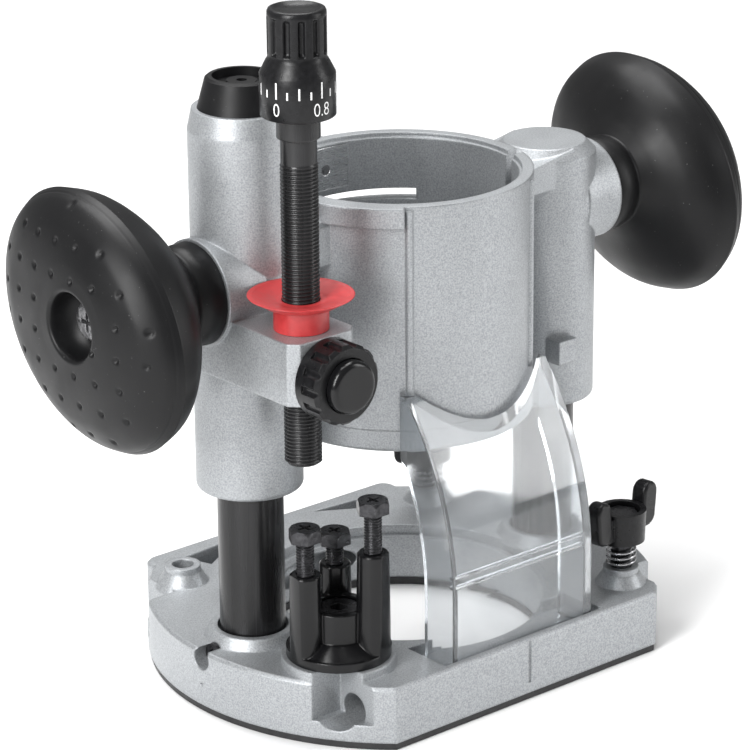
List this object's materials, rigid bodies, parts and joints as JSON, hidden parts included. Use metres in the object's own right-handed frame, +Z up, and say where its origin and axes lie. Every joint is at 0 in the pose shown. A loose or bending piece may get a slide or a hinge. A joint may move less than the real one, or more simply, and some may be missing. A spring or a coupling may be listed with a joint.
{
  "type": "plunge router base",
  "caption": "Plunge base that clamps a compact router motor, slides on two columns against springs, and has a turret depth stop, two knob grips and a clear chip guard.",
  "frame": {"origin": "on the motor axis, at the underside of the sole", "axes": "+Z up along the motor axis, +X towards the right-hand grip, -Y towards the straight front edge and chip guard"},
  "size_m": [0.2222, 0.1145, 0.2],
  "materials": {
    "cast_aluminium": "satin, fine speckled cast texture",
    "machined_aluminium": "machined",
    "black_steel": "black oxide, semi-gloss",
    "dark_screw": "black zinc",
    "bright_screw": "zinc plated",
    "rubber": "soft touch",
    "black_plastic": "moulded, matte",
    "gloss_black_plastic": "moulded, glossy",
    "red_plastic": "moulded, satin",
    "clear_plastic": "clear polycarbonate",
    "sole_plastic": "matte",
    "brass": "machined",
    "spring_steel": "drawn wire"
  },
  "bodies": {
    "base": {"base_plate": "sole_plastic", "base_plate_screws": "bright_screw", "base_casting": "cast_aluminium", "left_column": "black_steel", "right_column": "black_steel", "column_bolts": "bright_screw", "column_set_screws": "dark_screw", "column_stop_collars": "brass", "left_return_spring": "spring_steel", "right_return_spring": "spring_steel", "chip_guard": "clear_plastic", "front_wing_spring": "spring_steel", "rear_wing_spring": "spring_steel", "turret_pivot_screw": "dark_screw", "detent_ball": "bright_screw", "detent_spring": "spring_steel"},
    "front_wing_screw": {"front_wing_screw": "dark_screw", "front_wing_grip": "black_plastic"},
    "rear_wing_screw": {"rear_wing_screw": "dark_screw", "rear_wing_grip": "black_plastic"},
    "turret": {"stopper_block": "gloss_black_plastic"},
    "stop_bolt_left": {"stop_bolt_left": "dark_screw"},
    "stop_bolt_rear": {"stop_bolt_rear": "dark_screw"},
    "stop_bolt_right": {"stop_bolt_right": "dark_screw"},
    "carriage": {"carriage_casting": "cast_aluminium", "left_bushings": "brass", "right_bushings": "brass", "left_guide_rod": "spring_steel", "right_guide_rod": "spring_steel", "column_cap": "rubber", "left_grip": "rubber", "left_grip_core": "black_plastic", "left_grip_screw": "dark_screw", "right_grip": "rubber", "right_grip_core": "black_plastic", "right_grip_screw": "dark_screw", "motor_clamp_shoe": "machined_aluminium", "clamp_shoe_screw": "dark_screw", "clamp_nut": "bright_screw", "clamp_washer": "bright_screw", "lock_pad": "brass", "feed_spring": "spring_steel"},
    "clamp_lever": {"clamp_lever": "machined_aluminium", "clamp_bolt": "dark_screw"},
    "lock_lever": {"lock_lever": "black_plastic", "lock_screw": "dark_screw", "lock_lever_screw": "dark_screw"},
    "stopper_pole": {"stopper_pole": "black_steel"},
    "adjusting_knob": {"adjusting_knob": "black_plastic"},
    "depth_pointer": {"depth_pointer": "red_plastic"},
    "setting_knob": {"setting_knob": "black_plastic"},
    "feed_button": {"feed_button": "gloss_black_plastic", "half_nut": "brass"}
  },
  "joints": [
    {"name": "plunge", "type": "slide", "parent": "base", "child": "carriage", "axis": [0, 0, -1], "range_m": [0, 0.0185], "stiffness_N_per_m": 1500, "springref_m": -0.03, "deforming": ["left_return_spring", "right_return_spring"]},
    {"name": "stopper_pole_slide", "type": "slide", "parent": "carriage", "child": "stopper_pole", "axis": [0, 0, 1], "range_m": [-0.018, 0.016]},
    {"name": "adjusting_knob_turn", "type": "hinge", "parent": "stopper_pole", "child": "adjusting_knob", "pos_m": [-0.0584, -0.0286, 0.186], "axis": [0, 0, 1], "continuous": true},
    {"name": "depth_pointer_slide", "type": "slide", "parent": "carriage", "child": "depth_pointer", "axis": [0, 0, 1], "range_m": [0, 0.0235]},
    {"name": "setting_knob_turn", "type": "hinge", "parent": "carriage", "child": "setting_knob", "pos_m": [-0.0584, -0.043, 0.1042], "axis": [0, -1, 0], "continuous": true},
    {"name": "feed_button_press", "type": "slide", "parent": "carriage", "child": "feed_button", "axis": [0, 1, 0], "range_m": [0, 0.0028], "stiffness_N_per_m": 800, "springref_m": -0.003, "deforming": ["feed_spring"]},
    {"name": "turret_turn", "type": "hinge", "parent": "base", "child": "turret", "pos_m": [-0.048, -0.0296, 0.0206], "axis": [0, 0, 1], "continuous": true},
    {"name": "stop_bolt_left_adjust", "type": "slide", "parent": "turret", "child": "stop_bolt_left", "axis": [0, 0, 1], "range_m": [-0.005, 0.004]},
    {"name": "stop_bolt_rear_adjust", "type": "slide", "parent": "turret", "child": "stop_bolt_rear", "axis": [0, 0, 1], "range_m": [-0.005, 0.004]},
    {"name": "stop_bolt_right_adjust", "type": "slide", "parent": "turret", "child": "stop_bolt_right", "axis": [0, 0, 1], "range_m": [-0.005, 0.004]},
    {"name": "front_wing_screw_turn", "type": "hinge", "parent": "base", "child": "front_wing_screw", "pos_m": [0.046, -0.0413, 0.03], "axis": [0, 0, 1], "continuous": true},
    {"name": "rear_wing_screw_turn", "type": "hinge", "parent": "base", "child": "rear_wing_screw", "pos_m": [0.046, 0.0413, 0.03], "axis": [0, 0, 1], "continuous": true},
    {"name": "clamp_lever_swing", "type": "hinge", "parent": "carriage", "child": "clamp_lever", "pos_m": [-0.02, 0.042, 0.1315], "axis": [1, 0, 0], "range_deg": [0, 100]},
    {"name": "lock_lever_turn", "type": "hinge", "parent": "carriage", "child": "lock_lever", "pos_m": [0.0538, 0.02, 0.081], "axis": [0, 1, 0], "range_deg": [0, 35]}
  ]
}
